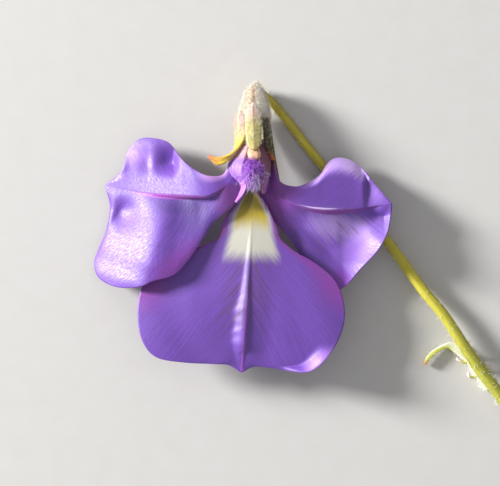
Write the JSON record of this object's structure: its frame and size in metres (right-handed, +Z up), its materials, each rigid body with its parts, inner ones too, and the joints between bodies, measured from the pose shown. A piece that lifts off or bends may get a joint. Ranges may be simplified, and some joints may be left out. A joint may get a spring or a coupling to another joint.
{
  "type": "lobelia flower",
  "caption": "Cut lobelia flower lying on its back: a three-lobed violet lower lip, two small upper lobes over the anthers, a hairy calyx, a hooked stem and a toothed leaf.",
  "frame": {"origin": "On the surface that the flower lies on, under the middle of its bounding box.", "axes": "+X to the right as the open flower is seen from the front, +Y up the flower from the lower lip towards the calyx, +Z up out of the surface, towards the viewer."},
  "size_m": [0.0437, 0.0346, 0.0064],
  "materials": {
    "petal": "matte",
    "upper_petal": "matte",
    "filament": "satin",
    "anther": "matte",
    "ovary": "matte",
    "sepal": "matte",
    "stem": "satin",
    "leaf": "satin"
  },
  "bodies": {
    "root": {"stem": "stem", "leaf": "leaf", "ovary": "ovary", "sepal_front": "sepal", "sepal_left": "sepal", "sepal_right": "sepal", "sepal_back_left": "sepal", "sepal_back_right": "sepal", "petal_middle": "petal", "petal_left": "petal", "petal_right": "petal", "petal_upper_left": "upper_petal", "petal_upper_right": "upper_petal", "filament_tube": "filament", "anther_tube": "anther"}
  },
  "joints": []
}
